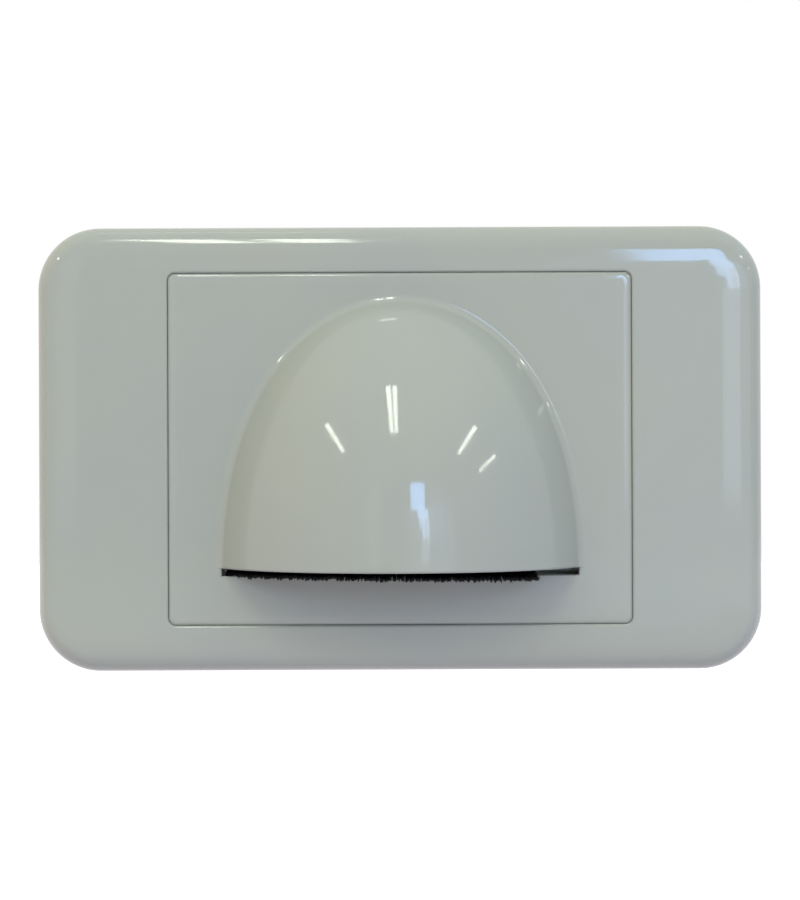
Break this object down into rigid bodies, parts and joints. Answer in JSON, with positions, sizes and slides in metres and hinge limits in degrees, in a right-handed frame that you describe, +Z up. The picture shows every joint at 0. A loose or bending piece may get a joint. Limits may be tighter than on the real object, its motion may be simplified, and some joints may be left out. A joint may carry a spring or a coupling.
{
  "type": "brush cable wall plate",
  "caption": "Rectangular clip-on wall plate whose flush panel carries a bullnose hood that opens downwards, closed by a strip brush that lets cables through.",
  "frame": {"origin": "centre of the plate on the wall plane, midway between the two screw slots", "axes": "+X to the right as seen from the front, +Z up, +Y into the wall, so the front and the hood face -Y"},
  "size_m": [0.116, 0.027, 0.0712],
  "materials": {
    "white_moulding": "gloss moulded ABS, greyish white",
    "channel_steel": "zinc-plated folded strip",
    "wire_steel": "drawn wire",
    "black_bristle": "black nylon filament"
  },
  "bodies": {
    "root": {"surround": "white_moulding", "hood_plate": "white_moulding", "brush_channel": "channel_steel", "brush_core_wire": "wire_steel", "brush_bristles": "black_bristle"}
  },
  "joints": []
}
